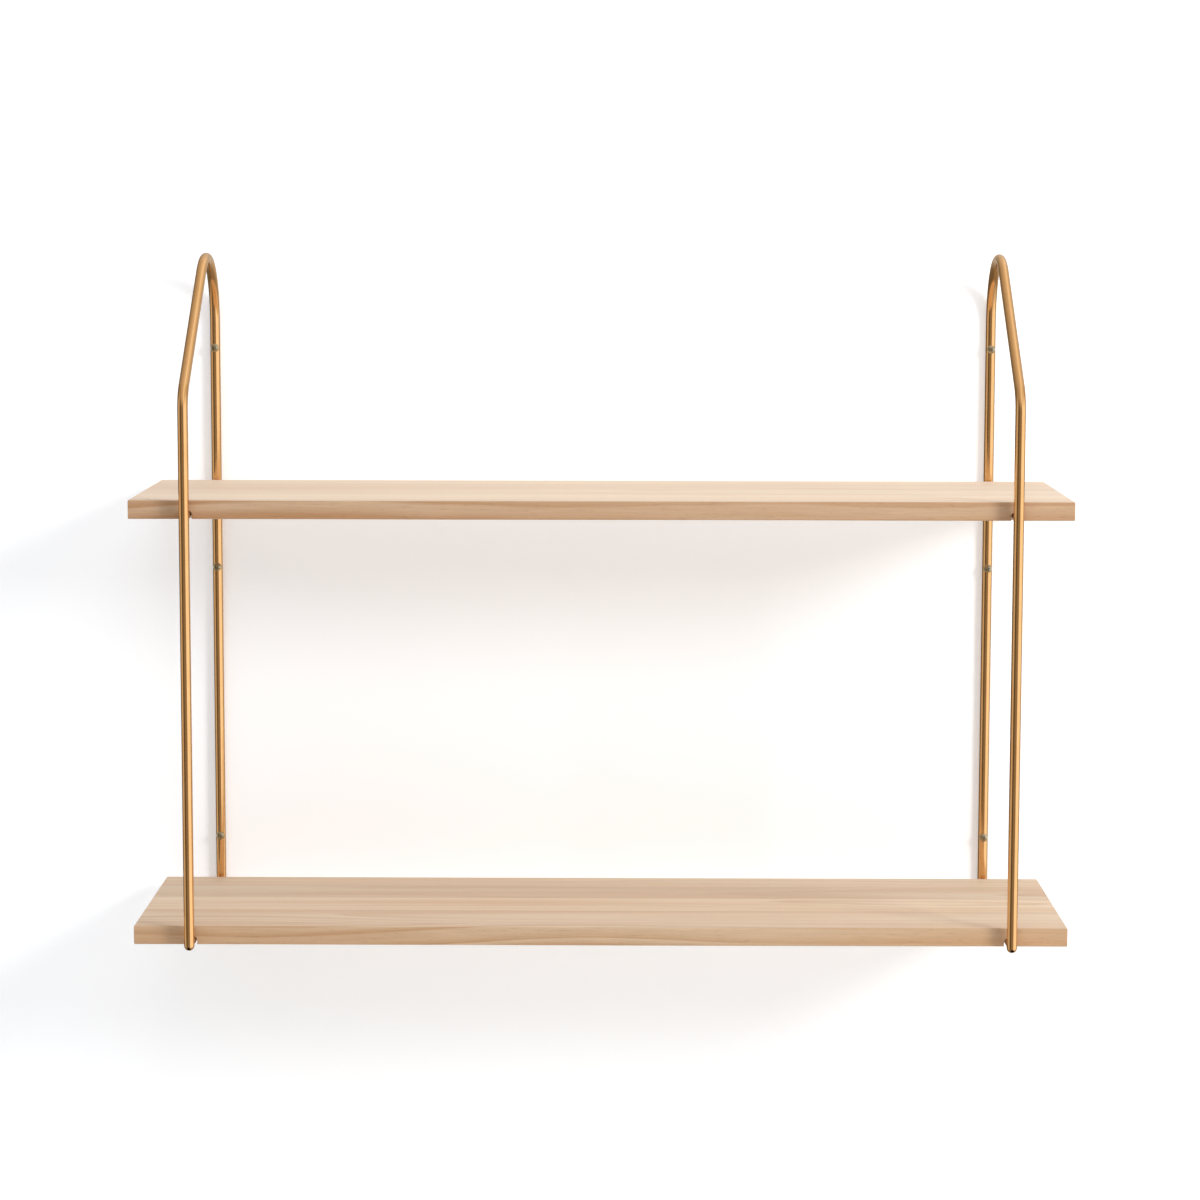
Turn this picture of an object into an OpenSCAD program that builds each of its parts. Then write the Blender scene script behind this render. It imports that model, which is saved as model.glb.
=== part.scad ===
// Wall shelf: two pine boards carried by two bent tube frames that screw to the wall.
// Millimetres. X runs along the boards, the wall is the plane y = 0, the front is -Y, Z is up.
// The origin is on the wall, midway between the frames and between their top and bottom screws.

/* [Boards] */
// Length of each board
board_length = 900; // [700:10:1200]
// Depth of each board, from back edge to front edge
board_depth = 240; // [180:5:320]
// Thickness of each board
board_thickness = 18; // [16:1:28]
// Height from the top of the lower board to the top of the upper one
board_pitch = 412; // [300:2:520]
// Radius of the eased long edges of the boards
edge_ease = 1.5; // [0.5:0.5:3]

/* [Grooves under the boards] */
// Diameter of the round-nosed cutter that makes the grooves
groove_diameter = 12.5; // [12.5:0.5:20]
// Depth of the grooves
groove_depth = 9; // [6:0.5:10]
// Gap left for paint between a groove's crown and the rail in it
seat_gap = 0.05; // [0.02:0.01:0.2]

/* [Frames] */
// Distance between the centre lines of the two frames
frame_spacing = 790; // [500:10:1000]
// Outside diameter of the frame tube
tube_diameter = 10; // [8:0.5:12]
// Wall of the frame tube
tube_wall = 1.2; // [0.8:0.1:1.6]
// Gap between the uprights and the edges of the boards, front and back
board_gap = 7; // [2:0.5:15]
// Centre-line radius of the bend in front, above the upper board
shoulder_bend = 30; // [15:1:60]
// Centre-line radius of the bend at the top, against the wall
peak_bend = 68; // [30:1:80]
// Height of the front corner above the top of the upper board, before it is rounded
shoulder_rise = 100; // [70:1:160]
// Angle of the sloping run above level
slope_angle = 36; // [25:0.5:45]
// Outside diameter of the rails that carry the boards
rail_diameter = 10; // [6:0.5:12]
// Wall of the rails
rail_wall = 1.2; // [0.8:0.1:1.6]
// Distance from the centre line of the lower rails to the rounded tips of the uprights
tip_drop = 7.25; // [6:0.25:40]
// Diameter of the vent hole in the rounded end of the front upright
vent_diameter = 3.4; // [2:0.2:4]
// Angle of the vent hole below level
vent_angle = 33; // [0:1:60]

/* [Wall screws] */
// Distance of the top screws below the start of the bend at the top
top_screw_drop = 24.35; // [12:0.05:60]
// Drop of the middle screws below the top of the upper board
middle_screw_drop = 90; // [60:1:150]
// Height of the bottom screws above the top of the lower board
bottom_screw_rise = 42; // [25:1:120]
// Diameter of the plain shank of the wall screws
wall_screw_shank = 4.5; // [3.5:0.5:5]
// Length of the wall screws under the head
wall_screw_length = 55; // [40:5:70]
// Diameter of the heads of the wall screws
wall_head_diameter = 8.5; // [7:0.5:10]
// Height of the heads of the wall screws
wall_head_height = 3; // [2:0.25:4]
// Clearance all round a wall screw where it passes through the tube
wall_hole_clearance = 0.25; // [0.1:0.05:0.5]

/* [Wall plugs] */
// Outside diameter of the wall plugs
plug_diameter = 8; // [6:1:10]
// Length of the wall plugs
plug_length = 40; // [30:1:60]
// Length of the unsplit neck of the plugs
plug_neck = 14; // [8:1:20]
// Amount by which the split legs of a plug are thinner than its neck, all round
plug_relief = 0.2; // [0.1:0.05:0.4]
// Width of the split in the plugs
plug_split = 1.2; // [0.8:0.1:2]

/* [Board screws] */
// Diameter of the shank of the screws that hold the boards down
board_screw_shank = 3.5; // [3:0.5:4.5]
// Depth that the board screws bite into the boards
board_screw_bite = 6; // [4:0.5:8]
// Diameter of the heads of the board screws
board_head_diameter = 6.5; // [5.5:0.5:8]
// Height of the heads of the board screws
board_head_height = 2.2; // [1.5:0.1:3]
// Distance of the board screws from the front and back edges of the boards
board_screw_inset = 45; // [25:5:80]

/* [Screw heads] */
// Width of a blade of the cross recess
recess_blade = 1; // [0.6:0.1:1.4]
// Span of the cross recess as a share of the head
recess_span = 0.58; // [0.4:0.02:0.7]
// Depth of the cross recess as a share of the head's height
recess_share = 0.6; // [0.3:0.05:0.8]
// Height of the straight rim of a head as a share of its height
rim_share = 0.4; // [0.2:0.05:0.6]

/* [Hidden] */
$fn = 48;

pine = "#d9c3a0";
gold = "#b8863f";
steel = "#8c8a86";
nylon = "#9a9a98";

// The swell at a joint of a run and a bend reaches this far each way, and stands this proud.
bead_reach = 0.6;
bead_height = 0.02;
// A cut runs this far past the faces that it opens.
over = 1;

tube_r = tube_diameter / 2;
bore_r = tube_r - tube_wall;
rail_r = rail_diameter / 2;
rail_bore_r = rail_r - rail_wall;
groove_r = groove_diameter / 2;

// Frames: left and right of the middle.
left_x = -frame_spacing / 2;
right_x = frame_spacing / 2;

rear_y = -tube_r;
board_back_y = -tube_diameter - board_gap;
board_front_y = board_back_y - board_depth;
front_y = board_front_y - board_gap - tube_r;
reach = rear_y - front_y;

// A bend takes this much off the straight run on each side of its corner.
shoulder_turn = 90 - slope_angle;
peak_turn = 90 + slope_angle;
shoulder_trim = shoulder_bend * tan(shoulder_turn / 2);
peak_trim = peak_bend * tan(peak_turn / 2);
slope_run = reach / cos(slope_angle) - shoulder_trim - peak_trim;

// Heights above the top of the upper board.
peak_rise = shoulder_rise + reach * tan(slope_angle);
top_screw_rise = peak_rise - peak_trim - top_screw_drop;

// Heights, from the origin midway between the top and bottom screws.
upper_top_z = (board_pitch - top_screw_rise - bottom_screw_rise) / 2;
lower_top_z = upper_top_z - board_pitch;
upper_under_z = upper_top_z - board_thickness;
lower_under_z = lower_top_z - board_thickness;
seat_height = groove_depth - seat_gap - rail_r;
upper_rail_z = upper_under_z + seat_height;
lower_rail_z = lower_under_z + seat_height;
foot_z = lower_rail_z - tip_drop + tube_r;
top_screw_z = upper_top_z + top_screw_rise;
middle_screw_z = upper_top_z - middle_screw_drop;
bottom_screw_z = lower_top_z + bottom_screw_rise;

// Corners of the frame's centre line in front and at the wall, before they are rounded.
shoulder_z = upper_top_z + shoulder_rise;
peak_z = upper_top_z + peak_rise;

// Board screws stand in from the board's edges.
front_screw_y = board_front_y + board_screw_inset;
back_screw_y = board_back_y - board_screw_inset;
board_screw_length = rail_diameter + seat_gap + board_screw_bite;

// A straight run of round bar of radius r, from (y, z), along angle above +Y.
module run(y, z, angle, length, r) {
    translate([0, y, z]) rotate([angle - 90, 0, 0]) cylinder(h = length, r = r);
}

// A bend of round bar of radius r about (y, z), turned on from one angle above +Y.
module bend(y, z, from, turn, centre_r, r) {
    translate([0, y, z]) rotate([90, 0, 90]) rotate(from) {
        rotate_extrude(angle = turn, $fn = 96) translate([centre_r, 0]) circle(r = r);
        for (end = [0, turn])
            rotate(end) translate([centre_r, 0, 0]) rotate([90, 0, 0]) bead(r);
    }
}

// The slight swell round the joint of a run and a bend, which makes them one solid.
module bead(r) {
    for (side = [0, 1])
        mirror([0, 0, side]) cylinder(h = bead_reach, r1 = r + bead_height, r2 = r - bead_height);
}

// A frame's centre line thickened to radius r, with a rounded end at each foot.
module bow(r) {
    // Up the wall to the peak bend, and down the front from the shoulder bend.
    run(rear_y, foot_z, 90, peak_z - peak_trim - foot_z, r);
    run(front_y, foot_z, 90, shoulder_z - shoulder_trim - foot_z, r);
    for (y = [front_y, rear_y])
        translate([0, y, foot_z]) sphere(r = r);
    // The sloping run between the two bends.
    run(front_y + shoulder_trim * cos(slope_angle), shoulder_z + shoulder_trim * sin(slope_angle),
        slope_angle, slope_run, r);
    bend(front_y + shoulder_bend, shoulder_z - shoulder_trim, 90 + slope_angle, shoulder_turn,
        shoulder_bend, r);
    bend(rear_y - peak_bend, peak_z - peak_trim, 0, peak_turn, peak_bend, r);
}

// A bent tube frame, drilled for its wall screws and a vent.
module frame(x) {
    color(gold) translate([x, 0, 0]) difference() {
        bow(tube_r);
        bow(bore_r);
        for (z = [top_screw_z, middle_screw_z, bottom_screw_z])
            translate([0, over, z]) rotate([90, 0, 0])
                cylinder(h = tube_diameter + 2 * over, d = wall_screw_shank + 2 * wall_hole_clearance);
        // The vent goes through the front of the rounded end only.
        translate([0, front_y, foot_z]) rotate([90 + vent_angle, 0, 0])
            cylinder(h = tube_diameter, d = vent_diameter);
    }
}

// The tube welded between a frame's uprights at height z, with its ends coped to fit them.
module rail(x, z) {
    color(gold) translate([x, 0, 0]) difference() {
        run(front_y, z, 0, reach, rail_r);
        run(front_y - over, z, 0, reach + 2 * over, rail_bore_r);
        for (y = [front_y, rear_y])
            run(y, z - tube_diameter, 90, 2 * tube_diameter, tube_r);
        for (y = [front_screw_y, back_screw_y])
            translate([0, y, z - rail_r - over])
                cylinder(h = rail_diameter + 2 * over, d = board_screw_shank);
    }
}

// The section of a board, with its four long edges eased.
module board_section() {
    translate([board_front_y, 0]) union() {
        translate([edge_ease, 0]) square([board_depth - 2 * edge_ease, board_thickness]);
        translate([0, edge_ease]) square([board_depth, board_thickness - 2 * edge_ease]);
        for (y = [edge_ease, board_depth - edge_ease])
            for (z = [edge_ease, board_thickness - edge_ease])
                translate([y, z]) circle(r = edge_ease);
    }
}

// A pine board with a groove over each frame and holes cut by the board screws.
module board(under_z) {
    color(pine) difference() {
        translate([-board_length / 2, 0, under_z]) rotate([90, 0, 90])
            linear_extrude(height = board_length) board_section();
        for (x = [left_x, right_x]) {
            translate([x, 0, under_z + groove_depth - groove_r])
                run(board_front_y - over, 0, 0, board_depth + 2 * over, groove_r);
            for (y = [front_screw_y, back_screw_y])
                translate([x, y, under_z])
                    cylinder(h = groove_depth + board_screw_bite, d = board_screw_shank);
        }
    }
}

// A pan-headed screw with a cross recess. Its shank points along +Z from the plane z = 0.
module screw(head_d, head_h, shank_d, length, tip_h) {
    rim_h = head_h * rim_share;
    dome_h = head_h - rim_h;
    // The dome is a cap of the sphere that meets the rim at its edge.
    dome_r = (head_d * head_d / 4 + dome_h * dome_h) / (2 * dome_h);
    difference() {
        union() {
            translate([0, 0, -rim_h]) cylinder(h = rim_h, d = head_d);
            translate([0, 0, -rim_h]) mirror([0, 0, 1]) rotate_extrude()
                intersection() {
                    square([head_d / 2, dome_h]);
                    translate([0, dome_h - dome_r]) circle(r = dome_r, $fn = 96);
                }
            cylinder(h = length - tip_h, d = shank_d);
            translate([0, 0, length - tip_h]) cylinder(h = tip_h, d1 = shank_d, d2 = shank_d / 5);
        }
        recess_depth = head_h * recess_share;
        for (turn = [0, 90])
            rotate(turn) translate([-head_d * recess_span / 2, -recess_blade / 2, -head_h - over])
                cube([head_d * recess_span, recess_blade, recess_depth + over]);
    }
}

// A wall screw, driven through the tube at height z, with its head on the front of the tube.
module wall_screw(x, z) {
    color(steel) translate([x, -tube_diameter, z]) rotate([-90, 0, 0])
        screw(wall_head_diameter, wall_head_height, wall_screw_shank, wall_screw_length,
            wall_screw_shank);
}

// The nylon plug in the wall round a wall screw, split across beyond its neck.
module wall_plug(x, z) {
    color(nylon) translate([x, 0, z]) rotate([-90, 0, 0]) difference() {
        union() {
            cylinder(h = plug_neck, d = plug_diameter);
            translate([0, 0, over])
                cylinder(h = plug_length - over, d = plug_diameter - 2 * plug_relief);
        }
        translate([0, 0, -over]) cylinder(h = plug_length + 2 * over, d = wall_screw_shank);
        translate([-plug_diameter, -plug_split / 2, plug_neck + over])
            cube([2 * plug_diameter, plug_split, plug_length]);
    }
}

// A board screw, driven up into the board through the rail at height z.
module board_screw(x, y, z) {
    color(steel) translate([x, y, z - rail_r])
        screw(board_head_diameter, board_head_height, board_screw_shank, board_screw_length,
            board_screw_shank);
}

module upper_board() board(upper_under_z);
module lower_board() board(lower_under_z);
module left_frame() frame(left_x);
module right_frame() frame(right_x);
module left_upper_rail() rail(left_x, upper_rail_z);
module left_lower_rail() rail(left_x, lower_rail_z);
module right_upper_rail() rail(right_x, upper_rail_z);
module right_lower_rail() rail(right_x, lower_rail_z);
module left_top_wall_screw() wall_screw(left_x, top_screw_z);
module left_middle_wall_screw() wall_screw(left_x, middle_screw_z);
module left_bottom_wall_screw() wall_screw(left_x, bottom_screw_z);
module right_top_wall_screw() wall_screw(right_x, top_screw_z);
module right_middle_wall_screw() wall_screw(right_x, middle_screw_z);
module right_bottom_wall_screw() wall_screw(right_x, bottom_screw_z);
module left_top_wall_plug() wall_plug(left_x, top_screw_z);
module left_middle_wall_plug() wall_plug(left_x, middle_screw_z);
module left_bottom_wall_plug() wall_plug(left_x, bottom_screw_z);
module right_top_wall_plug() wall_plug(right_x, top_screw_z);
module right_middle_wall_plug() wall_plug(right_x, middle_screw_z);
module right_bottom_wall_plug() wall_plug(right_x, bottom_screw_z);
module upper_left_front_screw() board_screw(left_x, front_screw_y, upper_rail_z);
module upper_left_back_screw() board_screw(left_x, back_screw_y, upper_rail_z);
module upper_right_front_screw() board_screw(right_x, front_screw_y, upper_rail_z);
module upper_right_back_screw() board_screw(right_x, back_screw_y, upper_rail_z);
module lower_left_front_screw() board_screw(left_x, front_screw_y, lower_rail_z);
module lower_left_back_screw() board_screw(left_x, back_screw_y, lower_rail_z);
module lower_right_front_screw() board_screw(right_x, front_screw_y, lower_rail_z);
module lower_right_back_screw() board_screw(right_x, back_screw_y, lower_rail_z);

upper_board();
lower_board();
left_frame();
right_frame();
left_upper_rail();
left_lower_rail();
right_upper_rail();
right_lower_rail();
left_top_wall_screw();
left_middle_wall_screw();
left_bottom_wall_screw();
right_top_wall_screw();
right_middle_wall_screw();
right_bottom_wall_screw();
left_top_wall_plug();
left_middle_wall_plug();
left_bottom_wall_plug();
right_top_wall_plug();
right_middle_wall_plug();
right_bottom_wall_plug();
upper_left_front_screw();
upper_left_back_screw();
upper_right_front_screw();
upper_right_back_screw();
lower_left_front_screw();
lower_left_back_screw();
lower_right_front_screw();
lower_right_back_screw();
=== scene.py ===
"""Double wall shelf: two pine boards on two frames of bent brass-coloured tube, screwed to a wall.

Metres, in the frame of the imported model: the wall is the plane y = 0 and the front is -Y.
"""
import math

import bmesh
import bpy
from mathutils import Matrix, Vector


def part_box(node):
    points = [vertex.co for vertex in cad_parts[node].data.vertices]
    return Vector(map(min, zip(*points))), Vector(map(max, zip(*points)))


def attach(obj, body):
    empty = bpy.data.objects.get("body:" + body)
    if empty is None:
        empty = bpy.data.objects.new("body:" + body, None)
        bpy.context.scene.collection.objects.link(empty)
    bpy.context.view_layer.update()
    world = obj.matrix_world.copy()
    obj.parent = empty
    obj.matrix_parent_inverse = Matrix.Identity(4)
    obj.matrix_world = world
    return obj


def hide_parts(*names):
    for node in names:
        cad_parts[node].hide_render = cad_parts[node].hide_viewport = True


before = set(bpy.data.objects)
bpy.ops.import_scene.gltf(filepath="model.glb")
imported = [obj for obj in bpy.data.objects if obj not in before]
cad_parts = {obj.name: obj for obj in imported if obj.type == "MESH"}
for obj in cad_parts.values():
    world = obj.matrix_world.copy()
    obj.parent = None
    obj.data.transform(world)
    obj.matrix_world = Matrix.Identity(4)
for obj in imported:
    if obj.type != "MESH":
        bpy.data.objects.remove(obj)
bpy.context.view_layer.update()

MM = 0.001
SIDES = ("left", "right")
LEVELS = ("upper", "lower")
WALL_ROWS = ("top", "middle", "bottom")

# Tube frames and rails: the sizes that the boards' places don't set.
TUBE_R = 5 * MM
BORE_R = 3.8 * MM
RAIL_R = 5 * MM
RAIL_BORE_R = 3.8 * MM
BOARD_GAP = 7 * MM
SHOULDER_BEND = 30 * MM
PEAK_BEND = 68 * MM
SHOULDER_RISE = 100 * MM
SLOPE = math.radians(36)
VENT_R = 1.7 * MM
VENT_ANGLE = math.radians(33)
WALL_HOLE_R = 2.5 * MM
TUBE_SIDES = 64
BEND_STEP = math.radians(2.5)
RUN_STEP = 12 * MM
# The rings of a rounded end, each by its angle from the tip.
FOOT_RINGS = (4, 12, 21, 30, 39, 48, 57, 66, 75, 83)

# Welds: how far one runs along the rail, up the upright and down it. At its sides it draws in, so
# that it ends on the upright's face. The lower rails are too near the feet for a full one below.
WELD_ALONG = 2.4 * MM
WELD_UP = 2.8 * MM
WELD_DOWN = {"upper": 2.8 * MM, "lower": 1.0 * MM}
WELD_SIDE = -0.06 * MM
WELD_STEPS = 7
WELD_RIPPLES = 14
WELD_RIPPLE_HEIGHT = 0.05

# Boards. The end easing turns at a knee, a share of its size from the end.
EASE = 1.5 * MM
END_EASE = 0.6 * MM
END_KNEE = 0.35
GROOVE_R = 6.25 * MM
GROOVE_DEPTH = 9 * MM
GROOVE_BREAK = 0.35 * MM

# Screws and plugs.
WALL_SHANK_R = 2.25 * MM
WALL_SCREW_LENGTH = 55 * MM
WALL_THREAD_PITCH = 1.8 * MM
WALL_PLAIN_LENGTH = 9 * MM
WALL_HEAD_R = 4.25 * MM
WALL_HEAD_H = 3 * MM
BOARD_SHANK_R = 1.75 * MM
BOARD_THREAD_PITCH = 1.35 * MM
BOARD_PLAIN_LENGTH = 2 * MM
BOARD_HEAD_R = 3.25 * MM
BOARD_HEAD_H = 2.2 * MM
PLUG_R = 4 * MM
PLUG_LENGTH = 40 * MM
PLUG_NECK = 14 * MM
PLUG_SPLIT = 1.2 * MM
PLUG_RIB_HEIGHT = 0.45 * MM
PLUG_RIB_PITCH = 2.4 * MM
PLUG_MOUTH_EASE = 0.15 * MM

# A cutter runs this far past the faces that it opens.
OVER = 1 * MM
# Corners closer than this are one.
SAME_CORNER = 0.002 * MM
# The four corners of a square round its middle, in order.
SQUARE = ((1, 1), (-1, 1), (-1, -1), (1, -1))


# ---------------------------------------------------------------- mesh tools

def new_object(name, verts, faces):
    """An object at the origin with a mesh of these corners and faces."""
    mesh = bpy.data.meshes.new(name)
    mesh.from_pydata([tuple(v) for v in verts], [], faces)
    mesh.validate()
    made = bpy.data.objects.new(name, mesh)
    bpy.context.scene.collection.objects.link(made)
    return made


def bridge(rings, closed):
    """Quads between rings of equal length; a closed row joins its last ring to its first."""
    count, sides = len(rings), len(rings[0])
    faces = []
    for i in range(count if closed else count - 1):
        low, high = i * sides, (i + 1) % count * sides
        for j in range(sides):
            k = (j + 1) % sides
            faces.append((low + j, low + k, high + k, high + j))
    return [v for ring in rings for v in ring], faces


def capped(rings):
    """A closed body from a row of rings, with a flat cap on each end."""
    verts, faces = bridge(rings, closed=False)
    sides = len(rings[0])
    faces.append(tuple(reversed(range(sides))))
    faces.append(tuple(range(len(verts) - sides, len(verts))))
    return verts, faces


def lathe(profile, sides):
    """Rings about +Z from (radius, height) pairs."""
    turns = [2 * math.pi * j / sides for j in range(sides)]
    return [[Vector((r * math.cos(a), r * math.sin(a), z)) for a in turns] for r, z in profile]


def rod(start, end, radius, sides=48):
    """A plain capped cylinder between two points, as corners and faces."""
    axis = Vector(end) - Vector(start)
    place = Matrix.Translation(start) @ axis.to_track_quat("Z", "Y").to_matrix().to_4x4()
    verts, faces = capped(lathe([(radius, 0), (radius, axis.length)], sides))
    return [place @ v for v in verts], faces


def merged(bodies):
    """Several (corners, faces) bodies as one."""
    verts, faces = [], []
    for some_verts, some_faces in bodies:
        faces += [tuple(i + len(verts) for i in face) for face in some_faces]
        verts += some_verts
    return verts, faces


def combine(obj, body, operation="DIFFERENCE"):
    """Cuts the body out of obj, or joins it on, for good."""
    tool = new_object("tool", *body)
    outward(tool)
    step = obj.modifiers.new("combine", "BOOLEAN")
    step.operation, step.object, step.solver = operation, tool, "EXACT"
    graph = bpy.context.evaluated_depsgraph_get()
    result = bpy.data.meshes.new_from_object(obj.evaluated_get(graph))
    obj.modifiers.clear()
    obj.data = result
    bpy.data.objects.remove(tool)


def outward(obj):
    """Turns every face outwards."""
    mesh = bmesh.new()
    mesh.from_mesh(obj.data)
    bmesh.ops.recalc_face_normals(mesh, faces=mesh.faces)
    mesh.to_mesh(obj.data)
    mesh.free()


def shade(obj, crease=32):
    """Smooth faces, with a hard edge wherever two faces meet at more than crease degrees."""
    mesh = bmesh.new()
    mesh.from_mesh(obj.data)
    bmesh.ops.remove_doubles(mesh, verts=mesh.verts, dist=SAME_CORNER)
    bmesh.ops.dissolve_degenerate(mesh, edges=mesh.edges, dist=SAME_CORNER)
    for face in mesh.faces:
        face.smooth = True
    for edge in mesh.edges:
        two = len(edge.link_faces) == 2
        edge.smooth = two and edge.calc_face_angle() < math.radians(crease)
    mesh.to_mesh(obj.data)
    mesh.free()
    weigh = obj.modifiers.new("weighted normals", "WEIGHTED_NORMAL")
    weigh.keep_sharp = True


def place(obj, node, slot, material):
    """Stands obj in for its CAD node, with its finish."""
    obj.data.materials.clear()
    obj.data.materials.append(material)
    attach(obj, "root")
    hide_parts(node)


def place_copy(pattern, name, place_at, turned, node, slot, material):
    """Stands a copy of the pattern in for a CAD node, turned and then moved to its place."""
    made = pattern.copy()
    made.name = name
    bpy.context.scene.collection.objects.link(made)
    made.matrix_world = Matrix.Translation(place_at) @ turned
    place(made, node, slot, material)


def spin(degrees, axis):
    """A turn about an axis of the frame."""
    return Matrix.Rotation(math.radians(degrees), 4, axis)


# ---------------------------------------------------------------- shader tools

def rgb(red, green, blue):
    """A colour given as it looks on screen, from 0 to 255, as the shader wants it."""
    def linear(value):
        value /= 255
        return value / 12.92 if value <= 0.04045 else ((value + 0.055) / 1.055) ** 2.4
    return (linear(red), linear(green), linear(blue), 1)


def put(tree, kind, inputs=None, **settings):
    """Adds a shader node; its inputs are given numbers, colours or other nodes' outputs."""
    made = tree.nodes.new("ShaderNode" + kind)
    for name, value in settings.items():
        setattr(made, name, value)
    for name, value in (inputs or {}).items():
        if isinstance(value, bpy.types.NodeSocket):
            tree.links.new(value, made.inputs[name])
        else:
            made.inputs[name].default_value = value
    return made


def calc(tree, operation, *values):
    """A Math node's result."""
    made = put(tree, "Math", dict(enumerate(values)), operation=operation)
    return made.outputs[0]


def stretched(tree, vector, scale):
    """The vector times a scale for each axis."""
    made = put(tree, "VectorMath", {0: vector, 1: scale}, operation="MULTIPLY")
    return made.outputs[0]


def noise(tree, vector, scale, detail=2, rough=0.5):
    """Soft noise about 0.5 on a vector already in metres, with scale lumps a metre."""
    made = put(tree, "TexNoise", {"Vector": vector, "Scale": scale, "Detail": detail,
                                  "Roughness": rough})
    return made.outputs["Fac"]


def ramp(tree, value, stops):
    """A colour ramp through (position, colour or grey) stops."""
    def paint(element, colour):
        element.color = colour if isinstance(colour, tuple) else (colour, colour, colour, 1)

    made = put(tree, "ValToRGB", {"Fac": value})
    elements = made.color_ramp.elements
    elements[0].position, elements[1].position = stops[0][0], stops[-1][0]
    paint(elements[0], stops[0][1])
    paint(elements[1], stops[-1][1])
    # A new element moves the others along the row, so each is painted as it is made.
    for position, colour in stops[1:-1]:
        paint(elements.new(position), colour)
    return made.outputs["Color"]


def blend(tree, kind, share, first, second):
    """Two colours mixed, with the blend type kind."""
    made = put(tree, "Mix", data_type="RGBA", blend_type=kind)
    for name, value in (("Factor_Float", share), ("A_Color", first), ("B_Color", second)):
        socket = next(s for s in made.inputs if s.identifier == name)
        if isinstance(value, bpy.types.NodeSocket):
            tree.links.new(value, socket)
        else:
            socket.default_value = value
    return next(s for s in made.outputs if s.identifier == "Result_Color")


def new_group(name, inputs, outputs):
    """An empty shader group, with (name, kind, default) inputs and (name, kind) outputs."""
    tree = bpy.data.node_groups.new(name, "ShaderNodeTree")
    for label, kind, default in inputs:
        socket = tree.interface.new_socket(label, in_out="INPUT", socket_type="NodeSocket" + kind)
        if default is not None:
            socket.default_value = default
    for label, kind in outputs:
        tree.interface.new_socket(label, in_out="OUTPUT", socket_type="NodeSocket" + kind)
    entry = tree.nodes.new("NodeGroupInput")
    leave = tree.nodes.new("NodeGroupOutput")
    return tree, entry.outputs, leave.inputs


def use_group(tree, group, **inputs):
    """Places a group in a material; an underscore in an input's name stands for a space."""
    made = tree.nodes.new("ShaderNodeGroup")
    made.node_tree = group
    for name, value in inputs.items():
        socket = made.inputs[name.replace("_", " ")]
        if isinstance(value, bpy.types.NodeSocket):
            tree.links.new(value, socket)
        else:
            socket.default_value = value
    return made.outputs


def new_material(name, **sockets):
    """A material with a Principled shader; returns (material, its tree, the shader)."""
    made = bpy.data.materials.new(name)
    made.use_nodes = True
    tree = made.node_tree
    shader = tree.nodes["Principled BSDF"]
    for label, value in sockets.items():
        shader.inputs[label.replace("_", " ")].default_value = value
    return made, tree, shader


def rows_place(tree):
    """Each point's place in the row's frame, whichever piece it is on."""
    return put(tree, "TexCoord").outputs["Object"]


# ---------------------------------------------------------------- finishes

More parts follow.
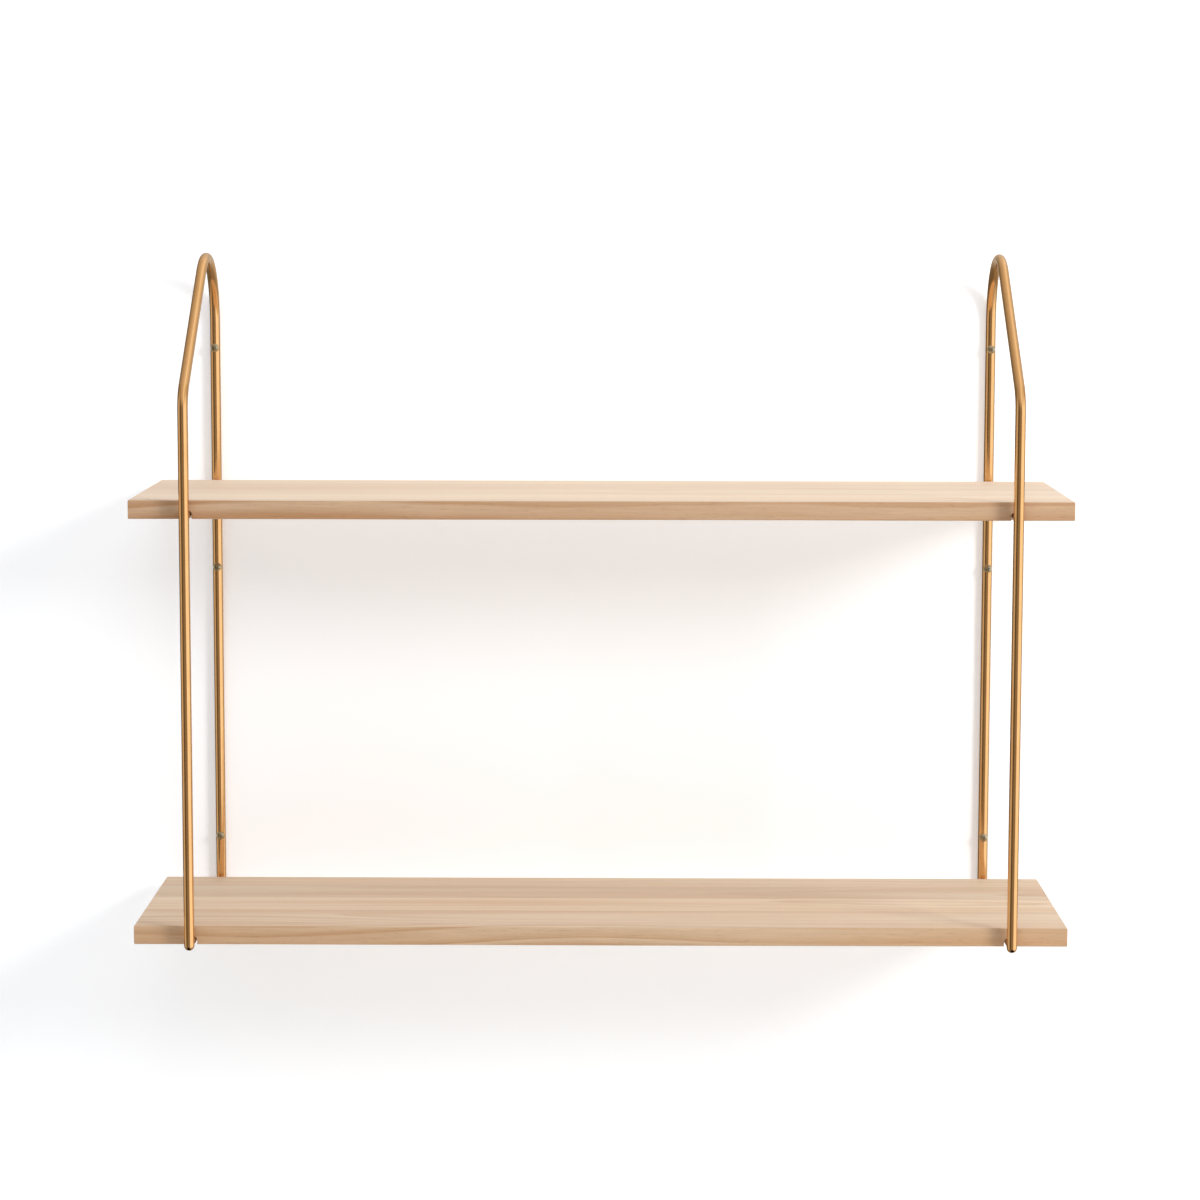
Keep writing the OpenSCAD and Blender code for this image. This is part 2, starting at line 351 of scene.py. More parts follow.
def pine_group():
    """Sawn and glued pine. Growth rings are tubes about each stave's own pith, so faces, edges
    and ends of a board all show the same rings."""
    tree, given, out = new_group(
        "pine timber",
        [("Place", "Vector", None), ("Mid Height", "Float", 0), ("Seed", "Float", 0),
         ("Stave Width", "Float", 0.06), ("Ring Width", "Float", 0.0085)],
        [("Color", "Color"), ("Latewood", "Float"), ("Height", "Float")])
    point = put(tree, "SeparateXYZ", {0: given["Place"]})
    x, y = point.outputs["X"], point.outputs["Y"]
    z = calc(tree, "SUBTRACT", point.outputs["Z"], given["Mid Height"])

    # Each stave has three random numbers of its own.
    stave = calc(tree, "FLOOR", calc(tree, "DIVIDE", y, given["Stave Width"]))
    own = put(tree, "TexWhiteNoise", {"W": calc(tree, "ADD", stave, given["Seed"])},
              noise_dimensions="1D")
    dice = put(tree, "SeparateColor", {0: own.outputs["Color"]})
    first, second, third = (dice.outputs[i] for i in range(3))
    middle = calc(tree, "MULTIPLY", calc(tree, "ADD", stave, 0.5), given["Stave Width"])

    # The pith runs along the board, beside or under the stave, and wanders a little.
    slide = calc(tree, "MULTIPLY_ADD", third, 7.0, x)
    along = put(tree, "CombineXYZ", {"X": slide, "Y": calc(tree, "MULTIPLY", stave, 3.7),
                                     "Z": given["Seed"]})
    wander = put(tree, "TexNoise", {"Vector": along.outputs[0], "Scale": 1.5, "Detail": 1})
    sway = put(tree, "SeparateColor", {0: wander.outputs["Color"]})
    pith_y = calc(tree, "MULTIPLY_ADD", calc(tree, "SUBTRACT", first, 0.5), 0.10, middle)
    pith_z = calc(tree, "MULTIPLY_ADD", second, 0.07, 0.012)
    away_y = calc(tree, "ADD", calc(tree, "SUBTRACT", y, pith_y),
                  calc(tree, "MULTIPLY", calc(tree, "SUBTRACT", sway.outputs[0], 0.5), 0.05))
    away_z = calc(tree, "ADD", calc(tree, "SUBTRACT", z, pith_z),
                  calc(tree, "MULTIPLY", calc(tree, "SUBTRACT", sway.outputs[1], 0.5), 0.05))
    radius = calc(tree, "SQRT", calc(tree, "ADD", calc(tree, "MULTIPLY", away_y, away_y),
                                     calc(tree, "MULTIPLY", away_z, away_z)))
    staved = put(tree, "CombineXYZ", {"X": slide, "Y": y, "Z": z}).outputs[0]
    ripple = noise(tree, stretched(tree, staved, (5, 70, 70)), 1, 2)
    radius = calc(tree, "MULTIPLY_ADD", calc(tree, "SUBTRACT", ripple, 0.5), 0.0045, radius)

    # Wide and narrow years, then one year: pale early wood that darkens and stops short.
    spread = put(tree, "TexNoise", {"W": calc(tree, "MULTIPLY", radius, 90), "Scale": 1,
                                    "Detail": 1}, noise_dimensions="1D").outputs["Fac"]
    years = calc(tree, "MULTIPLY_ADD", spread, 1.6, calc(tree, "DIVIDE", radius,
                                                         given["Ring Width"]))
    late = ramp(tree, calc(tree, "FRACT", years),
                [(0, 0.0), (0.35, 0.12), (0.72, 0.62), (0.88, 1.0), (1, 0.0)])
    strength = noise(tree, stretched(tree, staved, (2.2, 26, 26)), 1, 1)
    late = calc(tree, "MULTIPLY", late, calc(tree, "MULTIPLY_ADD", strength, 1.5, -0.15))

    # Fibres, short dark resin canals, and broad warm streaks along the board.
    fibre = noise(tree, stretched(tree, staved, (30, 1100, 1100)), 1, 3, 0.6)
    canal = noise(tree, stretched(tree, staved, (95, 1500, 1500)), 1, 1)
    canal = ramp(tree, canal, [(0.66, 0.0), (0.74, 1.0)])
    streak = noise(tree, stretched(tree, staved, (1.6, 34, 34)), 1, 3)

    early_wood, late_wood, heart = rgb(214, 190, 160), rgb(190, 148, 106), rgb(200, 158, 116)
    tone = blend(tree, "MIX", late, early_wood, late_wood)
    tone = blend(tree, "MIX", ramp(tree, streak, [(0.42, 0.0), (0.72, 0.75)]), tone, heart)
    tone = blend(tree, "MULTIPLY", 1.0, tone, ramp(tree, fibre, [(0.3, 0.90), (0.7, 1.04)]))
    tone = blend(tree, "MULTIPLY", calc(tree, "MULTIPLY", canal, 0.25), tone, rgb(170, 130, 92))
    # Staves differ a little in tone.
    shift = calc(tree, "MULTIPLY_ADD", third, 0.13, 0.93)
    tone = blend(tree, "MULTIPLY", 1.0, tone,
                 put(tree, "CombineColor", {0: shift, 1: shift, 2: shift}).outputs[0])
    # A fine dark glue line where two staves meet.
    across = calc(tree, "FRACT", calc(tree, "DIVIDE", y, given["Stave Width"]))
    seam = calc(tree, "ABSOLUTE", calc(tree, "SUBTRACT", across, 0.5))
    seam = calc(tree, "GREATER_THAN", seam, 0.4965)
    tone = blend(tree, "MULTIPLY", calc(tree, "MULTIPLY", seam, 0.35), tone, rgb(150, 108, 70))

    height = calc(tree, "MULTIPLY_ADD", fibre, 0.6, calc(tree, "MULTIPLY", late, 0.35))
    height = calc(tree, "MULTIPLY_ADD", canal, -0.7, height)
    tree.links.new(tone, out["Color"])
    tree.links.new(late, out["Latewood"])
    tree.links.new(height, out["Height"])
    return tree


def handling_group():
    """Cloudy smears left by hands and cloths, and fine scratches, for the metal pieces."""
    tree, given, out = new_group(
        "handling marks",
        [("Place", "Vector", None), ("Smear Scale", "Float", 45), ("Grain Scale", "Float", 2600)],
        [("Smear", "Float"), ("Grain", "Float")])
    cloud = put(tree, "TexNoise", {"Vector": given["Place"], "Scale": given["Smear Scale"],
                                   "Detail": 4, "Roughness": 0.6})
    grain = put(tree, "TexNoise", {"Vector": given["Place"], "Scale": given["Grain Scale"],
                                   "Detail": 2})
    tree.links.new(cloud.outputs["Fac"], out["Smear"])
    tree.links.new(grain.outputs["Fac"], out["Grain"])
    return tree


def pine(name, group, mid_height, seed, painted_edge_shade):
    """Oiled pine for one board: thirstier, darker end grain and painted shade on the long edges."""
    made, tree, shader = new_material(name, IOR=1.48, Specular_IOR_Level=0.5, Sheen_Weight=0.35,
                                      Sheen_Roughness=0.35)
    timber = use_group(tree, group, Place=rows_place(tree), Mid_Height=mid_height, Seed=seed)
    facing = put(tree, "SeparateXYZ", {0: put(tree, "NewGeometry").outputs["True Normal"]})
    end = ramp(tree, calc(tree, "ABSOLUTE", facing.outputs["X"]), [(0.55, 0.0), (0.75, 1.0)])
    colour = blend(tree, "MULTIPLY", calc(tree, "MULTIPLY", end, 0.55), timber["Color"],
                   rgb(206, 176, 142))
    # Painted shade: the faces towards front and back are darkened by the board's
    # painted_edge_shade.
    edge = ramp(tree, calc(tree, "ABSOLUTE", facing.outputs["Y"]), [(0.55, 0.0), (0.75, 1.0)])
    colour = blend(tree, "MULTIPLY", edge, colour, painted_edge_shade)
    tree.links.new(colour, shader.inputs["Base Color"])
    rough = calc(tree, "MULTIPLY_ADD", timber["Latewood"], -0.10, 0.56)
    rough = calc(tree, "MULTIPLY_ADD", end, 0.2, rough)
    tree.links.new(rough, shader.inputs["Roughness"])
    relief = put(tree, "Bump", {"Height": timber["Height"], "Strength": 0.35,
                                "Distance": 0.12 * MM})
    tree.links.new(relief.outputs["Normal"], shader.inputs["Normal"])
    return made


def metal(name, marks, colour, dull, roughness, spread, relief):
    """A metal finish that smears and fine grain break up: the roughness swings by spread, and
    relief is the grain's depth."""
    made, tree, shader = new_material(name, Metallic=1.0)
    touched = use_group(tree, marks, Place=rows_place(tree))
    tone = blend(tree, "MIX", ramp(tree, touched["Smear"], [(0.4, 0.0), (0.75, 1.0)]), colour, dull)
    tree.links.new(tone, shader.inputs["Base Color"])
    rough = calc(tree, "MULTIPLY_ADD", calc(tree, "SUBTRACT", touched["Smear"], 0.5), spread,
                 roughness)
    tree.links.new(rough, shader.inputs["Roughness"])
    bump = put(tree, "Bump", {"Height": touched["Grain"], "Strength": relief,
                              "Distance": 0.02 * MM})
    tree.links.new(bump.outputs["Normal"], shader.inputs["Normal"])
    return made


def nylon():
    """Grey moulded nylon with a fine spark-eroded texture."""
    made, tree, shader = new_material("moulded nylon", Specular_IOR_Level=0.45,
                                      Subsurface_Weight=0.15, Subsurface_Scale=0.5 * MM)
    point = rows_place(tree)
    cloud = noise(tree, point, 180, 3)
    tone = ramp(tree, cloud, [(0.3, rgb(150, 151, 150)), (0.7, rgb(168, 168, 166))])
    tree.links.new(tone, shader.inputs["Base Color"])
    tree.links.new(calc(tree, "MULTIPLY_ADD", cloud, 0.15, 0.42), shader.inputs["Roughness"])
    bump = put(tree, "Bump", {"Height": noise(tree, point, 3500, 2), "Strength": 0.4,
                              "Distance": 0.03 * MM})
    tree.links.new(bump.outputs["Normal"], shader.inputs["Normal"])
    return made


# ---------------------------------------------------------------- boards

def board_section(low, high, sides=8):
    """The board's outline across its length, as (y, z) points, with its four edges eased."""
    points = []
    corners = ((high.y - EASE, high.z - EASE, 0), (low.y + EASE, high.z - EASE, 90),
               (low.y + EASE, low.z + EASE, 180), (high.y - EASE, low.z + EASE, 270))
    for y, z, start in corners:
        for i in range(sides + 1):
            a = math.radians(start + 90 * i / sides)
            points.append((y + EASE * math.cos(a), z + EASE * math.sin(a)))
    return points


def board_body(low, high):
    """The plain board: its section run along X, with its outline eased at each end."""
    middle_y, middle_z = (low.y + high.y) / 2, (low.z + high.z) / 2
    deep, thick = high.y - low.y, high.z - low.z
    rings = []
    knee = END_EASE * END_KNEE
    for x, inset in ((low.x, END_EASE), (low.x + knee, knee), (low.x + END_EASE, 0),
                     (high.x - END_EASE, 0), (high.x - knee, knee), (high.x, END_EASE)):
        across, up = 1 - 2 * inset / deep, 1 - 2 * inset / thick
        rings.append([Vector((x, middle_y + (y - middle_y) * across,
                              middle_z + (z - middle_z) * up))
                      for y, z in board_section(low, high)])
    return capped(rings)


def groove_cutter(x, low, high):
    """A round-nosed cutter's path under a board at x, with its rims broken all round."""
    centre_z = low.z + GROOVE_DEPTH - GROOVE_R
    sides = 24
    # The arc above the board's underside, from one rim over the crown to the other.
    rim = math.asin((low.z + GROOVE_BREAK - centre_z) / GROOVE_R)

    def outline(grow):
        points = []
        for i in range(sides + 1):
            a = rim + (math.pi - 2 * rim) * i / sides
            points.append(((GROOVE_R + grow) * math.cos(a),
                           centre_z + (GROOVE_R + grow) * math.sin(a)))
        reach = points[0][0] + GROOVE_BREAK + OVER
        return [(reach, low.z - OVER)] + points + [(-reach, low.z - OVER)]

    rings = []
    for y, grow in ((low.y - OVER, GROOVE_BREAK + OVER), (low.y, GROOVE_BREAK),
                    (low.y + GROOVE_BREAK, 0), (high.y - GROOVE_BREAK, 0),
                    (high.y, GROOVE_BREAK), (high.y + OVER, GROOVE_BREAK + OVER)):
        rings.append([Vector((x + dx, y, z)) for dx, z in outline(grow)])
    return capped(rings)


def make_board(level, material):
    """A board with its grooves and its screw holes."""
    low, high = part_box(f"{level}_board")
    board = new_object(f"{level}_pine_board", *board_body(low, high))
    outward(board)
    combine(board, merged([groove_cutter(frame_x(side), low, high) for side in SIDES]))
    holes = []
    for side in SIDES:
        for end in ("front", "back"):
            screw_low, screw_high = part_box(f"{level}_{side}_{end}_screw")
            middle = (screw_low + screw_high) / 2
            holes.append(rod((middle.x, middle.y, low.z - OVER),
                             (middle.x, middle.y, screw_high.z), BOARD_SHANK_R))
    combine(board, merged(holes))
    shade(board)
    place(board, f"{level}_board", "pine", material)


# ---------------------------------------------------------------- frames

def frame_x(side):
    """The centre plane of a frame."""
    low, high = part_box(f"{side}_frame")
    return (low.x + high.x) / 2


def uprights_y():
    """Where the front and the rear uprights' centre lines stand."""
    low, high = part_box("lower_board")
    return low.y - BOARD_GAP - TUBE_R, high.y + BOARD_GAP + TUBE_R


def foot_height():
    """The centre of the rounded end of each upright."""
    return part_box("left_frame")[0].z + TUBE_R


def bow_stations():
    """Places along a frame's centre line, from the rear foot over the top to the front foot,
    each as (y, z) and the outward direction there."""
    front_y, rear_y = uprights_y()
    shoulder_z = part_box("upper_board")[1].z + SHOULDER_RISE
    peak_z = shoulder_z + (rear_y - front_y) * math.tan(SLOPE)
    at = Vector((rear_y, foot_height()))
    stations = []
    path = ((Vector((rear_y, peak_z)), PEAK_BEND), (Vector((front_y, shoulder_z)), SHOULDER_BEND),
            (Vector((front_y, foot_height())), None))
    for i, (corner, radius) in enumerate(path):
        before = (corner - at).normalized()
        heading = math.atan2(before.y, before.x)
        turn = before.angle(path[i + 1][0] - corner) if radius else 0
        trim = radius * math.tan(turn / 2) if radius else 0
        end = corner - before * trim
        steps = math.ceil((end - at).length / RUN_STEP)
        for j in range(steps + 1):
            stations.append((at.lerp(end, j / steps), Vector((before.y, -before.x))))
        at = end
        if radius:
            centre = end + Vector((-before.y, before.x)) * radius
            steps = math.ceil(turn / BEND_STEP)
            for j in range(1, steps):
                a = heading + turn * j / steps
                way = Vector((math.sin(a), -math.cos(a)))
                stations.append((centre + way * radius, way))
            a = heading + turn
            at = centre + Vector((math.sin(a), -math.cos(a))) * radius
    return stations


def bow_body(x, stations, radius):
    """The centre line thickened to a tube's surface, with a rounded end at each foot."""
    def ring(at, way, reach):
        turns = [2 * math.pi * j / TUBE_SIDES for j in range(TUBE_SIDES)]
        return [Vector((x + reach * math.sin(a), at.x + way.x * reach * math.cos(a),
                        at.y + way.y * reach * math.cos(a))) for a in turns]

    def foot(at, way):
        rings = []
        for degrees in FOOT_RINGS:
            a = math.radians(degrees)
            rings.append(ring(at - Vector((0, radius * math.cos(a))), way, radius * math.sin(a)))
        return rings

    rings = [ring(at, way, radius) for at, way in stations]
    return capped(foot(*stations[0]) + rings + list(reversed(foot(*stations[-1]))))


def make_frame(side, material):
    """A bent tube frame, hollow, drilled for its wall screws and vented at the front foot."""
    x = frame_x(side)
    stations = bow_stations()
    tube = new_object(f"{side}_tube_frame", *bow_body(x, stations, TUBE_R))
    outward(tube)
    combine(tube, bow_body(x, stations, BORE_R))
    cutters = []
    for row in WALL_ROWS:
        low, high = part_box(f"{side}_{row}_wall_screw")
        z = (low.z + high.z) / 2
        cutters.append(rod((x, -2 * TUBE_R - OVER, z), (x, OVER, z), WALL_HOLE_R))
    foot = Vector((x, uprights_y()[0], foot_height()))
    way = Vector((0, -math.cos(VENT_ANGLE), -math.sin(VENT_ANGLE)))
    cutters.append(rod(foot, foot + way * 2 * TUBE_R, VENT_R))
    combine(tube, merged(cutters))
    shade(tube)
    place(tube, f"{side}_frame", "gold_tube", material)


# ---------------------------------------------------------------- rails

def rail_end(x, z, upright_y, towards, weld_down):
    """Rings from a rail over its weld on to the upright, in order, for one end of the rail. The
    weld reaches weld_down below the rail."""
    rings = []
    for i in range(WELD_STEPS + 1):
        share = i / WELD_STEPS
        # A quarter of a hollow curve, from along the rail to along the upright.
        sweep = math.radians(90) * share
        out, back = 1 - math.cos(sweep), 1 - math.sin(sweep)
        ring = []
        for j in range(TUBE_SIDES):
            a = 2 * math.pi * j / TUBE_SIDES
            ripple = 1 + (WELD_RIPPLE_HEIGHT * math.sin(WELD_RIPPLES * a)
                          * math.sin(math.pi * share))
            half_wide = RAIL_R + WELD_SIDE * out * ripple
            half_high = RAIL_R + (WELD_UP if a < math.pi else weld_down) * out * ripple
            dx, dz = half_wide * math.cos(a), half_high * math.sin(a)
            saddle = math.sqrt(max(TUBE_R ** 2 - dx ** 2, 0))
            y = upright_y + towards * (saddle + WELD_ALONG * back * ripple)
            ring.append(Vector((x + dx, y, z + dz)))
        rings.append(ring)
    return rings


def make_rail(side, level, material):
    """The tube that carries a board, with the weld that holds each end to its upright."""
    x = frame_x(side)
    low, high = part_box(f"{side}_{level}_rail")
    z = (low.z + high.z) / 2
    front_y, rear_y = uprights_y()
    front = rail_end(x, z, front_y, 1, WELD_DOWN[level])
    rear = rail_end(x, z, rear_y, -1, WELD_DOWN[level])
    rail = new_object(f"{side}_{level}_welded_rail", *capped(list(reversed(front)) + rear))
    outward(rail)
    combine(rail, rod((x, front_y, z), (x, rear_y, z), RAIL_BORE_R, TUBE_SIDES))
    for y in (front_y, rear_y):
        combine(rail, rod((x, y, z - 4 * TUBE_R), (x, y, z + 4 * TUBE_R), TUBE_R, TUBE_SIDES))
    for end in ("front", "back"):
        screw_low, screw_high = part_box(f"{level}_{side}_{end}_screw")
        y = (screw_low.y + screw_high.y) / 2
        combine(rail, rod((x, y, z - 2 * RAIL_R), (x, y, z + 2 * RAIL_R), BOARD_SHANK_R))
    shade(rail)
    place(rail, f"{side}_{level}_rail", "gold_tube", material)


# ---------------------------------------------------------------- screws

def recess_cutter(head_r, head_h):
    """A cross recess: four tapered wings round a cone."""
    depth = head_h * 0.68
    wing_top, wing_foot = head_r * 0.58, head_r * 0.30
    half_top, half_foot = head_r * 0.13, head_r * 0.09
    top, foot = -head_h - OVER, -head_h + depth
    wings = []
    slope = (wing_top - wing_foot) / depth * OVER
    for turn in (0, 90):
        rings = []
        for z, reach, half in ((top, wing_top + slope, half_top), (foot, wing_foot, half_foot)):
            rings.append([spin(turn, "Z") @ Vector((sx * reach, sy * half, z))
                          for sx, sy in SQUARE])
        wings.append(capped(rings))
    cone = capped(lathe([(head_r * 0.30, top), (head_r * 0.20, foot),
                         (head_r * 0.02, foot + head_h * 0.12)], 24))
    return wings, cone


def screw_mesh(name, head_r, head_h, shank_r, length, pitch, plain):
    """A pan head with a cross recess and a shank along +Z from the plane z = 0, threaded beyond
    its plain part."""
    core_r = shank_r * 0.72
    # The plain part under the head stands this share of the way from the core to the crests.
    blank = 0.55
    # Half a crest's foot, as a share of the pitch, and the point's radius, as a share of r.
    crest_half, point = 0.30, 0.08
    tip = 2 * shank_r
    sides = 28
    rows = math.ceil(length / (pitch / 10))
    rings = []
    for i in range(rows + 1):
        z = length * i / rows
        ring = []
        taper = min(1, max(0, length - z) / tip)
        fade = min(1, max(0, (z - plain) / pitch))
        for j in range(sides):
            a = 2 * math.pi * j / sides
            phase = (z / pitch - j / sides) % 1
            ridge = max(0, 1 - abs(phase - 0.5) / crest_half)
            crest = core_r + (shank_r - core_r) * (ridge * fade + (1 - fade) * blank)
            r = max(0.06 * shank_r, crest * (point + (1 - point) * taper ** 0.8))
            ring.append(Vector((r * math.cos(a), r * math.sin(a), z)))
        rings.append(ring)
    shank = capped(rings)
    head = new_object(name, *capped(lathe(head_profile(head_r, head_h), 72)))
    outward(head)
    wings, cone = recess_cutter(head_r, head_h)
    for wing in wings:
        combine(head, wing)
    combine(head, cone)
    combine(head, shank, "UNION")
    shade(head, 28)
    return head


def head_profile(head_r, head_h):
    """The pan head's outline from its flat seat to the middle of its crown, in -Z."""
    rim = head_h * 0.4
    dome = head_h - rim
    dome_r = (head_r ** 2 + dome ** 2) / (2 * dome)
    edge = 0.25 * MM
    points = [(head_r - edge, 0.0), (head_r - edge * 0.3, -edge * 0.3), (head_r, -edge),
              (head_r, -rim)]
    span = math.asin(head_r / dome_r)
    for i in range(1, 13):
        a = span * (1 - i / 12.5)
        points.append((dome_r * math.sin(a), -rim - dome + dome_r * (1 - math.cos(a))))
    return points


def make_wall_screws(material):
    """Six screws through the rear uprights, each turned to its own angle."""
    pattern = screw_mesh("wall_screw_pattern", WALL_HEAD_R, WALL_HEAD_H, WALL_SHANK_R,
                         WALL_SCREW_LENGTH, WALL_THREAD_PITCH, WALL_PLAIN_LENGTH)
    turn = 20
    for side in SIDES:
        for row in WALL_ROWS:
            node = f"{side}_{row}_wall_screw"
            low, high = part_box(node)
            middle = (low + high) / 2
            place_copy(pattern, f"{side}_{row}_screw_in_wall", (middle.x, -2 * TUBE_R, middle.z),
                       spin(-90, "X") @ spin(turn, "Z"), node, "screw_steel", material)
            turn += 37
    bpy.data.objects.remove(pattern)


def make_board_screws(material):
    """Eight screws driven up through the rails into the boards."""
    turn = 5
    for level in LEVELS:
        low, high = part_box(f"{level}_left_front_screw")
        length = high.z - low.z - BOARD_HEAD_H
        pattern = screw_mesh(f"{level}_board_screw_pattern", BOARD_HEAD_R, BOARD_HEAD_H,
                             BOARD_SHANK_R, length, BOARD_THREAD_PITCH, BOARD_PLAIN_LENGTH)
        for side in SIDES:
            for end in ("front", "back"):
                node = f"{level}_{side}_{end}_screw"
                low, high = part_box(node)
                middle = (low + high) / 2
                place_copy(pattern, f"{level}_{side}_{end}_screw_in_board",
                           (middle.x, middle.y, low.z + BOARD_HEAD_H), spin(turn, "Z"), node,
                           "screw_steel", material)
                turn += 29
        bpy.data.objects.remove(pattern)


# ---------------------------------------------------------------- wall plugs

def plug_mesh(name):
    """A nylon plug along +Z from its mouth: a collar, saw-toothed ribs and two split legs."""
    body_r = PLUG_R - PLUG_RIB_HEIGHT
    first_rib = PLUG_NECK * 0.45
    last_rib = PLUG_LENGTH - 4 * MM
    profile = [(PLUG_R - PLUG_MOUTH_EASE, 0), (PLUG_R, PLUG_MOUTH_EASE), (PLUG_R, 1.0 * MM),
               (body_r, 1.4 * MM), (body_r, first_rib)]
    z = first_rib
    while z + PLUG_RIB_PITCH < last_rib:
        profile += [(body_r, z), (PLUG_R, z + 0.35 * MM), (PLUG_R, z + 0.7 * MM),
                    (body_r, z + PLUG_RIB_PITCH * 0.85)]
        z += PLUG_RIB_PITCH
    profile += [(body_r, z + 0.2 * MM), (body_r * 0.82, PLUG_LENGTH - 0.6 * MM),
                (body_r * 0.7, PLUG_LENGTH)]
    plug = new_object(name, *capped(lathe(profile, 56)))
    outward(plug)
    combine(plug, rod((0, 0, -OVER), (0, 0, PLUG_LENGTH + OVER), WALL_SHANK_R))
    half = PLUG_SPLIT / 2
    split = [[Vector((sx * 2 * PLUG_R, sy * half, z)) for sx, sy in SQUARE]
             for z in (PLUG_NECK, PLUG_LENGTH + OVER)]
    combine(plug, capped(split))
    shade(plug)
    return plug


def make_plugs(material):
    """One plug round each wall screw."""
    pattern = plug_mesh("plug_pattern")
    for side in SIDES:
        for row in WALL_ROWS:
            node = f"{side}_{row}_wall_plug"
            low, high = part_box(node)
            middle = (low + high) / 2
            place_copy(pattern, f"{side}_{row}_plug_in_wall", (middle.x, low.y, middle.z),
                       spin(-90, "X"), node, "plug_nylon", material)
    bpy.data.objects.remove(pattern)


# ---------------------------------------------------------------- the shelf

timber = pine_group()
marks = handling_group()
gold = metal("satin brass-coloured plating", marks, rgb(233, 185, 129), rgb(228, 178, 121),
             roughness=0.16, spread=0.03, relief=0.0)
zinc = metal("zinc-plated screw", marks, rgb(196, 184, 156), rgb(160, 149, 126),
             roughness=0.30, spread=0.2, relief=0.3)
plastic = nylon()
# Painted shade on each board's long edges, deeper on the upper board than on the lower.
for level, seed, painted_edge_shade in (("upper", 3.0, rgb(248, 236, 230)),
                               ("lower", 11.0, rgb(253, 246, 242))):
    mid_height = sum(corner.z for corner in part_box(f"{level}_board")) / 2
    make_board(level, pine(f"{level} board pine", timber, mid_height, seed, painted_edge_shade))
for side in SIDES:
    make_frame(side, gold)
    for level in LEVELS:
        make_rail(side, level, gold)
make_wall_screws(zinc)
make_board_screws(zinc)
make_plugs(plastic)


# ---------------------------------------------------------------- wall, floor, light and camera

def panel(name, centre, facing, size):
    """A square panel of the studio."""
    half = size / 2
    corners = [(-half, -half, 0), (half, -half, 0), (half, half, 0), (-half, half, 0)]
    turned = Vector(facing).to_track_quat("Z", "Y").to_matrix().to_4x4()
    made = new_object(name, [Matrix.Translation(centre) @ turned @ Vector(c) for c in corners],
                      [(0, 1, 2, 3)])
    return made


def one_sided(name, colour, glow):
    """White paint that is only there from its front, so the back of the shelf can be seen. It
    glows by glow. Mirror-like rays pass it by, so the metal mirrors the room of the world."""
    made, tree, shader = new_material(name, Base_Color=colour, Roughness=0.9,
                                      Specular_IOR_Level=0.1, Emission_Color=colour,
                                      Emission_Strength=glow)
    shape = put(tree, "NewGeometry").outputs
    path = put(tree, "LightPath").outputs
    clear = put(tree, "BsdfTransparent").outputs[0]
    seen = put(tree, "MixShader", {0: path["Is Glossy Ray"], 1: shader.outputs[0], 2: clear})
    mix = put(tree, "MixShader", {0: calc(tree, "MAXIMUM", shape["Backfacing"],
                                          path["Is Shadow Ray"]),
                                  1: seen.outputs[0], 2: clear})
    tree.links.new(mix.outputs[0], tree.nodes["Material Output"].inputs["Surface"])
    return made


def area_light(name, place_at, size, power, colour):
    """A square soft light aimed at the shelf, not seen itself nor in reflections."""
    data = bpy.data.lights.new(name, "AREA")
    data.shape, data.size, data.energy, data.color = "SQUARE", size, power, colour
    made = bpy.data.objects.new(name, data)
    made.location = place_at
    aim = Vector((0, -0.1, 0.0)) - Vector(place_at)
    made.rotation_euler = aim.to_track_quat("-Z", "Y").to_euler()
    made.visible_camera = made.visible_glossy = False
    bpy.context.scene.collection.objects.link(made)


def warm(value):
    """A grey of the room that the metal mirrors, browner as it darkens."""
    return value, value * (0.84 + 0.14 * value), value * (0.60 + 0.36 * value), 1


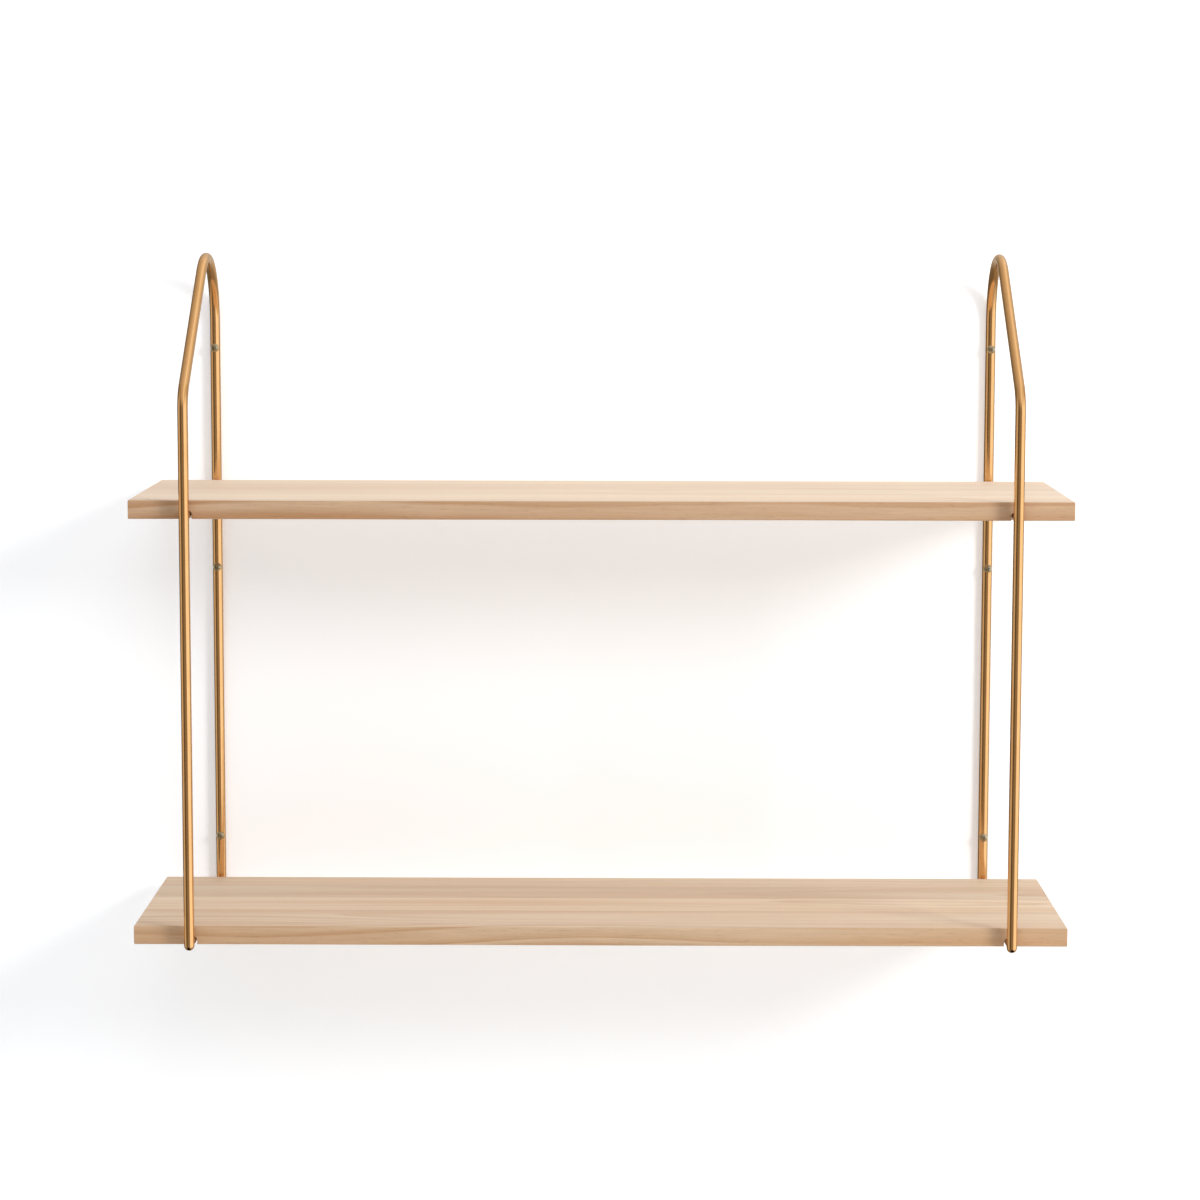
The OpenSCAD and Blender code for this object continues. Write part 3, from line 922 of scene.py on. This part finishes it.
def studio_world():
    """A pale surround for the camera, a soft room for the wood, and for the metal a room with
    dark flags on the left and a tall bright window on the right."""
    world = bpy.data.worlds.new("studio")
    bpy.context.scene.world = world
    # Light is not sampled from the world, or the metal's share of it would be lost.
    world.cycles.sampling_method = "NONE"
    world.use_nodes = True
    tree = world.node_tree
    tree.nodes.clear()
    path = put(tree, "LightPath").outputs
    way = put(tree, "SeparateXYZ", {0: put(tree, "TexCoord").outputs["Generated"]}).outputs
    lift = calc(tree, "MULTIPLY_ADD", way["Z"], 0.5, 0.5)
    room = ramp(tree, lift, [(0.0, 0.30), (0.42, 0.26), (0.60, 0.34), (1.0, 0.85)])
    soft = put(tree, "Background", {"Color": room, "Strength": 0.62})

    # Round the horizon from the far side by the left, the front and the right.
    turn = calc(tree, "ARCTAN2", way["X"], calc(tree, "MULTIPLY", way["Y"], -1))
    turn = calc(tree, "MULTIPLY_ADD", turn, 1 / (2 * math.pi), 0.5)
    around = [(-180, 0.45), (-150, 0.15), (-108, 0.11), (-98, 0.56), (-64, 0.56), (-56, 0.08),
              (-34, 0.08), (-27, 0.22), (20, 0.25), (30, 1.0), (98, 1.0), (108, 0.32),
              (150, 0.45), (180, 0.45)]
    bands = ramp(tree, turn, [((degrees + 180) / 360, warm(value)) for degrees, value in around])
    # The ceiling, from left to right.
    across = calc(tree, "MULTIPLY_ADD", way["X"], 0.5, 0.5)
    ceiling = ramp(tree, across, [(0.0, warm(0.21)), (0.35, warm(0.49)), (0.55, warm(0.66)),
                                  (0.68, warm(0.92)), (0.80, warm(0.66)), (1.0, warm(0.44))])
    high = ramp(tree, lift, [(0.60, 0.0), (0.84, 1.0)])
    low = ramp(tree, lift, [(0.10, 0.7), (0.32, 0.0)])
    bands = blend(tree, "MIX", high, bands, ceiling)
    bands = blend(tree, "MIX", low, bands, warm(0.16))
    sharp = put(tree, "Background", {"Color": bands, "Strength": 1.31})
    lit = put(tree, "MixShader", {0: path["Is Glossy Ray"], 1: soft.outputs[0],
                                  2: sharp.outputs[0]})
    seen = put(tree, "Background", {"Color": rgb(250, 250, 250), "Strength": 1.0})
    mix = put(tree, "MixShader", {0: path["Is Camera Ray"], 1: lit.outputs[0],
                                  2: seen.outputs[0]})
    end = put(tree, "OutputWorld")
    tree.links.new(mix.outputs[0], end.inputs["Surface"])


def make_camera():
    """A long lens a little right of the middle, level with the slope of the frames."""
    data = bpy.data.cameras.new("camera")
    data.lens, data.sensor_width = 100.2, 36
    made = bpy.data.objects.new("camera", data)
    bpy.context.scene.collection.objects.link(made)
    made.location = (0.0148, -3.4159, 0.3961)
    pitch, yaw, roll = math.radians(6.725), math.radians(-0.286), math.radians(0.105)
    made.rotation_mode = "QUATERNION"
    made.rotation_quaternion = (Matrix.Rotation(-yaw, 3, "Z")
                                @ Matrix.Rotation(math.radians(90) - pitch, 3, "X")
                                @ Matrix.Rotation(roll, 3, "Z")).to_quaternion()
    bpy.context.scene.camera = made


wall = panel("wall", (0, 0, 2.2), (0, -1, 0), 6.2)
wall.data.materials.append(one_sided("wall paint", rgb(248, 250, 253), 0.27))
floor = panel("floor", (0, 0, -0.9), (0, 0, 1), 60)
floor.data.materials.append(one_sided("pale floor", rgb(238, 237, 235), 0.0))
# Each light's name, place, size, watts and colour.
area_light("window", (2.7, -2.3, 1.25), 1.0, 74, (1.0, 0.99, 0.97))
area_light("ceiling softbox", (0.3, -1.3, 2.4), 1.8, 22, (1.0, 0.99, 0.98))
area_light("front fill", (-1.2, -3.2, 0.9), 2.4, 13, (0.93, 0.96, 1.0))
area_light("back fill", (0.0, 2.6, 1.2), 2.4, 20, (1.0, 1.0, 1.0))
studio_world()
make_camera()
bpy.context.scene.view_settings.view_transform = "Standard"
